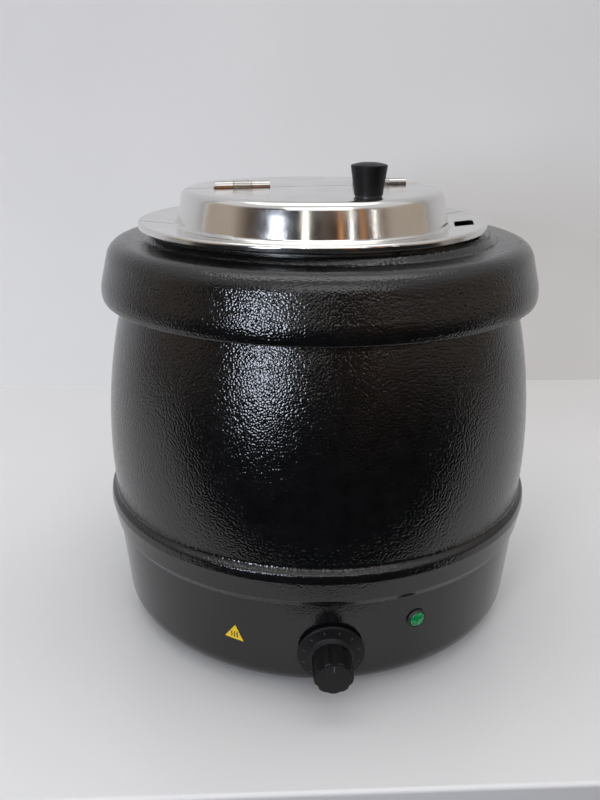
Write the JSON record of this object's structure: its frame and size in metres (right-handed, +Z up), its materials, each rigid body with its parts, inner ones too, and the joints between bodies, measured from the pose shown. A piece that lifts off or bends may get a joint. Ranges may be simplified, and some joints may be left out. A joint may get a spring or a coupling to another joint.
{
  "type": "soup kettle",
  "caption": "Electric wet-heat soup kettle: bulging black barrel and collar, lift-out steel pot, hinged flap lid, control knob and lamp.",
  "frame": {"origin": "on the table under the middle of the kettle, at the underside of the feet", "axes": "+Z up, -Y towards the control knob, +X to the right seen from the front"},
  "size_m": [0.3445, 0.384, 0.3621],
  "materials": {
    "powder_coat": "pebbled gloss",
    "polished_steel": "polished",
    "drawn_steel": "satin",
    "spring_steel": "satin",
    "zinc": "zinc plated",
    "aluminium": "satin",
    "brass": "satin",
    "element_sheath": "dull",
    "copper": "satin",
    "bakelite": "satin",
    "black_nylon": "matte",
    "white_plastic": "matte",
    "rubber": "matte",
    "green_lens": "gloss",
    "yellow_label": "gloss",
    "wire_brown": "satin",
    "wire_blue": "satin",
    "wire_green": "satin"
  },
  "bodies": {
    "kettle": {"outer_barrel": "powder_coat", "top_collar": "powder_coat", "collar_brackets": "zinc", "collar_screws": "zinc", "water_well": "drawn_steel", "base_plate": "zinc", "base_screws": "zinc", "foot_1": "rubber", "foot_2": "rubber", "foot_3": "rubber", "foot_4": "rubber", "foot_screws": "zinc", "foot_nuts": "zinc", "spreader_plate": "aluminium", "heating_element": "element_sheath", "element_clamps": "zinc", "element_studs": "zinc", "element_nuts": "zinc", "thermal_cutout": "bakelite", "thermostat_body": "white_plastic", "thermostat_bracket": "zinc", "thermostat_screws": "zinc", "thermostat_bulb": "copper", "capillary_tube": "copper", "bulb_clips": "spring_steel", "lamp_bezel": "black_nylon", "lamp_lens": "green_lens", "lamp_clip": "spring_steel", "caution_label": "yellow_label", "terminal_block": "white_plastic", "terminal_screws": "brass", "earth_stud": "brass", "earth_nut": "brass", "live_wires": "wire_brown", "neutral_wires": "wire_blue", "earth_wires": "wire_green", "cable_gland": "black_nylon", "strain_relief": "rubber", "gland_locknut": "black_nylon"},
    "pot": {"soup_pot": "drawn_steel"},
    "lid": {"lid_rear": "polished_steel", "rear_hinge_leaves": "polished_steel", "hinge_pins": "zinc"},
    "flap": {"lid_front": "polished_steel", "front_hinge_leaves": "spring_steel", "lid_knob": "bakelite", "lid_knob_screw": "zinc", "lid_knob_washer": "black_nylon"},
    "dial": {"control_knob": "bakelite", "thermostat_shaft": "zinc"}
  },
  "joints": [
    {"name": "pot_lift", "type": "slide", "parent": "kettle", "child": "pot", "axis": [0, 0, 1], "range_m": [0, 0.26]},
    {"name": "lid_lift", "type": "slide", "parent": "pot", "child": "lid", "axis": [0, 0, 1], "range_m": [0, 0.12]},
    {"name": "flap_hinge", "type": "hinge", "parent": "lid", "child": "flap", "pos_m": [-0.00732, 0.00884, 0.3405], "axis": [-0.9816, -0.1908, 0], "range_deg": [0, 150]},
    {"name": "knob_turn", "type": "hinge", "parent": "kettle", "child": "dial", "pos_m": [0, -0.16377, 0.0405], "axis": [0, 0.9967, 0.0815], "range_deg": [0, 270]}
  ]
}
